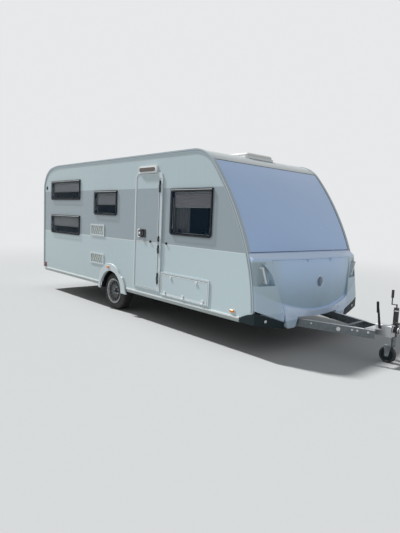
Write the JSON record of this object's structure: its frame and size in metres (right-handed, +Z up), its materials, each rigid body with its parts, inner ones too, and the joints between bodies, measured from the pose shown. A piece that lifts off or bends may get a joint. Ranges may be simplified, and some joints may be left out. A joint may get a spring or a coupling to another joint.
{
  "type": "travel caravan",
  "caption": "Single-axle touring caravan with rounded ends, stable door, tinted windows, front gas locker, A-frame drawbar and jockey wheel.",
  "frame": {"origin": "middle of the overall length and width, on the ground", "axes": "+X forward to the hitch, +Y left, +Z up; the entrance door is on the -Y side"},
  "size_m": [7.34, 2.408, 2.595],
  "materials": {
    "floor_panel": "matte",
    "side_skin": "semi-gloss",
    "front_skin": "gloss",
    "roof_skin": "semi-gloss",
    "edge_profile": "satin",
    "white_profile": "satin",
    "white_moulding": "gloss",
    "black_plastic": "matte",
    "grey_plastic": "textured",
    "door_skin": "semi-gloss",
    "handle_plastic": "satin",
    "lamp_lens": "gloss",
    "galvanised_steel": "zinc spangle",
    "tyre": "matte",
    "wheel_silver": "metallic silver",
    "cast_grey": "painted silver grey",
    "jockey_rubber": "matte",
    "hatch_plastic": "satin",
    "furniture_board": "satin",
    "cushion_fabric": "woven",
    "tinted_pane": "dark tint"
  },
  "bodies": {
    "caravan": {"floor": "floor_panel", "side_wall_right": "side_skin", "side_wall_left": "side_skin", "front_wall": "front_skin", "roof": "roof_skin", "rear_wall": "side_skin", "corner_profiles": "edge_profile", "side_skirts": "white_profile", "wheel_arch_trims": "white_moulding", "wheel_boxes": "black_plastic", "gas_locker_housing": "white_moulding", "front_corner_covers": "grey_plastic", "grab_handles": "white_moulding", "window_panes": "tinted_pane", "window_frames": "black_plastic", "door_frame": "white_moulding", "door_hinges": "grey_plastic", "fridge_vents": "white_moulding", "flap_borders": "white_moulding", "lamps": "lamp_lens", "rear_panel": "white_moulding", "chassis_rails": "galvanised_steel", "drawbar": "galvanised_steel", "cross_members": "galvanised_steel", "axle": "galvanised_steel", "overrun_device": "cast_grey", "coupling_head": "cast_grey", "handbrake_lever": "black_plastic", "jockey_tube": "galvanised_steel", "steady_brackets": "galvanised_steel", "roof_fittings": "hatch_plastic", "kitchen_unit": "furniture_board", "furniture": "furniture_board", "cushions": "cushion_fabric"},
    "wheel_right": {"tyre_right": "tyre", "rim_right": "wheel_silver"},
    "wheel_left": {"tyre_left": "tyre", "rim_left": "wheel_silver"},
    "upper_door": {"door_upper": "door_skin", "door_handle": "handle_plastic"},
    "lower_door": {"door_lower": "door_skin"},
    "service_hatch": {"service_flap": "side_skin"},
    "cassette_hatch": {"cassette_flap": "side_skin"},
    "locker_lid": {"gas_locker_lid": "white_moulding"},
    "steady_fr": {"steady_front_right": "galvanised_steel"},
    "steady_fl": {"steady_front_left": "galvanised_steel"},
    "steady_rr": {"steady_rear_right": "galvanised_steel"},
    "steady_rl": {"steady_rear_left": "galvanised_steel"},
    "jockey_stem": {"jockey_inner": "galvanised_steel"},
    "jockey_yoke": {"jockey_fork": "galvanised_steel"},
    "jockey_roller": {"jockey_wheel": "jockey_rubber"}
  },
  "joints": [
    {"name": "wheel_right_spin", "type": "hinge", "parent": "caravan", "child": "wheel_right", "pos_m": [-0.89, -0.992, 0.32], "axis": [0, 1, 0], "continuous": true},
    {"name": "wheel_left_spin", "type": "hinge", "parent": "caravan", "child": "wheel_left", "pos_m": [-0.89, 0.992, 0.32], "axis": [0, 1, 0], "continuous": true},
    {"name": "door_upper_hinge", "type": "hinge", "parent": "caravan", "child": "upper_door", "pos_m": [0.453, -1.187, 1.7], "axis": [0, 0, 1], "range_deg": [0, 168]},
    {"name": "door_lower_hinge", "type": "hinge", "parent": "caravan", "child": "lower_door", "pos_m": [0.453, -1.187, 0.9], "axis": [0, 0, 1], "range_deg": [0, 168]},
    {"name": "service_flap_hinge", "type": "hinge", "parent": "caravan", "child": "service_hatch", "pos_m": [1.041, -1.18, 0.498], "axis": [1, 0, 0], "range_deg": [0, 115]},
    {"name": "cassette_flap_hinge", "type": "hinge", "parent": "caravan", "child": "cassette_hatch", "pos_m": [-2.744, 1.18, 0.73], "axis": [0, 0, -1], "range_deg": [0, 150]},
    {"name": "locker_lid_hinge", "type": "hinge", "parent": "caravan", "child": "locker_lid", "pos_m": [2.455, 0, 1.16], "axis": [0, -1, 0], "range_deg": [0, 70]},
    {"name": "steady_fr_swing", "type": "hinge", "parent": "caravan", "child": "steady_fr", "pos_m": [1.62, -0.82, 0.44], "axis": [0, -1, 0], "range_deg": [0, 69]},
    {"name": "steady_fl_swing", "type": "hinge", "parent": "caravan", "child": "steady_fl", "pos_m": [1.62, 0.82, 0.44], "axis": [0, -1, 0], "range_deg": [0, 69]},
    {"name": "steady_rr_swing", "type": "hinge", "parent": "caravan", "child": "steady_rr", "pos_m": [-3.37, -0.82, 0.44], "axis": [0, 1, 0], "range_deg": [0, 69]},
    {"name": "steady_rl_swing", "type": "hinge", "parent": "caravan", "child": "steady_rl", "pos_m": [-3.37, 0.82, 0.44], "axis": [0, 1, 0], "range_deg": [0, 69]},
    {"name": "jockey_height", "type": "slide", "parent": "caravan", "child": "jockey_stem", "axis": [0, 0, 1], "range_m": [0, 0.1]},
    {"name": "jockey_swivel", "type": "hinge", "parent": "jockey_stem", "child": "jockey_yoke", "pos_m": [3.465, 0.096, 0.21], "axis": [0, 0, 1], "continuous": true},
    {"name": "jockey_wheel_spin", "type": "hinge", "parent": "jockey_yoke", "child": "jockey_roller", "pos_m": [3.405, 0.096, 0.1], "axis": [0, 1, 0], "continuous": true}
  ]
}
